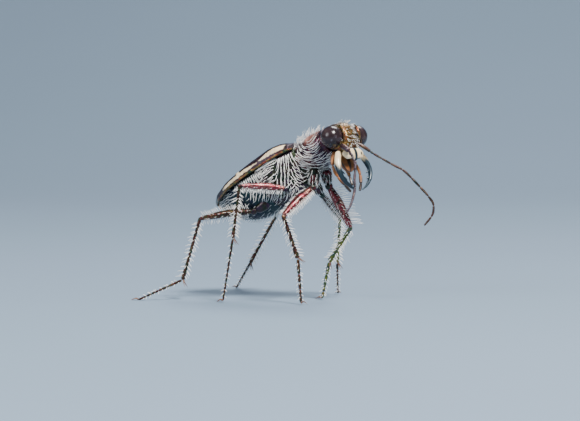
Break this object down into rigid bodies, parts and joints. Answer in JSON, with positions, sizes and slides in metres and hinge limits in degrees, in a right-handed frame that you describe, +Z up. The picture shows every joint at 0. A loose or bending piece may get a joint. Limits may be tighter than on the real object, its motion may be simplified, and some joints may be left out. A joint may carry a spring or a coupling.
{
  "type": "tiger beetle",
  "caption": "Life-size museum model of a hairy-necked tiger beetle standing high on long bristled legs, head turned down, jaws closed.",
  "frame": {"origin": "on the floor under the middle of the beetle's bounding box, legs and feelers included", "axes": "+X the way the beetle faces, +Y its left side, +Z up"},
  "size_m": [0.02, 0.0142, 0.0136],
  "materials": {
    "head_metal": "iridescent copper-green cuticle, polished, with white hairs",
    "pronotum_metal": "iridescent coppery purple cuticle, polished, with white hairs",
    "flank_metal": "iridescent green and purple cuticle, polished, with white hairs",
    "belly_metal": "iridescent dark blue-green cuticle, polished",
    "wing_case": "dark purple-bronze cuticle, finely pitted, with cream bands",
    "eye": "glossy dark purple-brown faceted eye",
    "ivory": "ivory horn with dark metallic tips",
    "palp": "orange-brown horn with dark tips",
    "feeler": "dark purple-grey and copper segments",
    "leg_metal": "iridescent copper, red and green cuticle with stiff white bristles"
  },
  "bodies": {
    "root": {"head": "head_metal", "labrum": "ivory", "eye_right": "eye", "mandible_right": "ivory", "maxillary_palp_right": "palp", "labial_palp_right": "palp", "antenna_right_scape": "feeler", "antenna_right_middle": "feeler", "antenna_right_tip": "feeler", "eye_left": "eye", "mandible_left": "ivory", "maxillary_palp_left": "palp", "labial_palp_left": "palp", "antenna_left_scape": "feeler", "antenna_left_middle": "feeler", "antenna_left_tip": "feeler", "prothorax": "pronotum_metal", "thorax": "flank_metal", "abdomen": "belly_metal", "elytron_right": "wing_case", "elytron_left": "wing_case", "coxa_front_right": "leg_metal", "femur_front_right": "leg_metal", "tibia_front_right": "leg_metal", "tarsus_front_right": "leg_metal", "coxa_front_left": "leg_metal", "femur_front_left": "leg_metal", "tibia_front_left": "leg_metal", "tarsus_front_left": "leg_metal", "coxa_middle_right": "leg_metal", "femur_middle_right": "leg_metal", "tibia_middle_right": "leg_metal", "tarsus_middle_right": "leg_metal", "coxa_middle_left": "leg_metal", "femur_middle_left": "leg_metal", "tibia_middle_left": "leg_metal", "tarsus_middle_left": "leg_metal", "coxa_hind_right": "leg_metal", "femur_hind_right": "leg_metal", "tibia_hind_right": "leg_metal", "tarsus_hind_right": "leg_metal", "coxa_hind_left": "leg_metal", "femur_hind_left": "leg_metal", "tibia_hind_left": "leg_metal", "tarsus_hind_left": "leg_metal"}
  },
  "joints": []
}
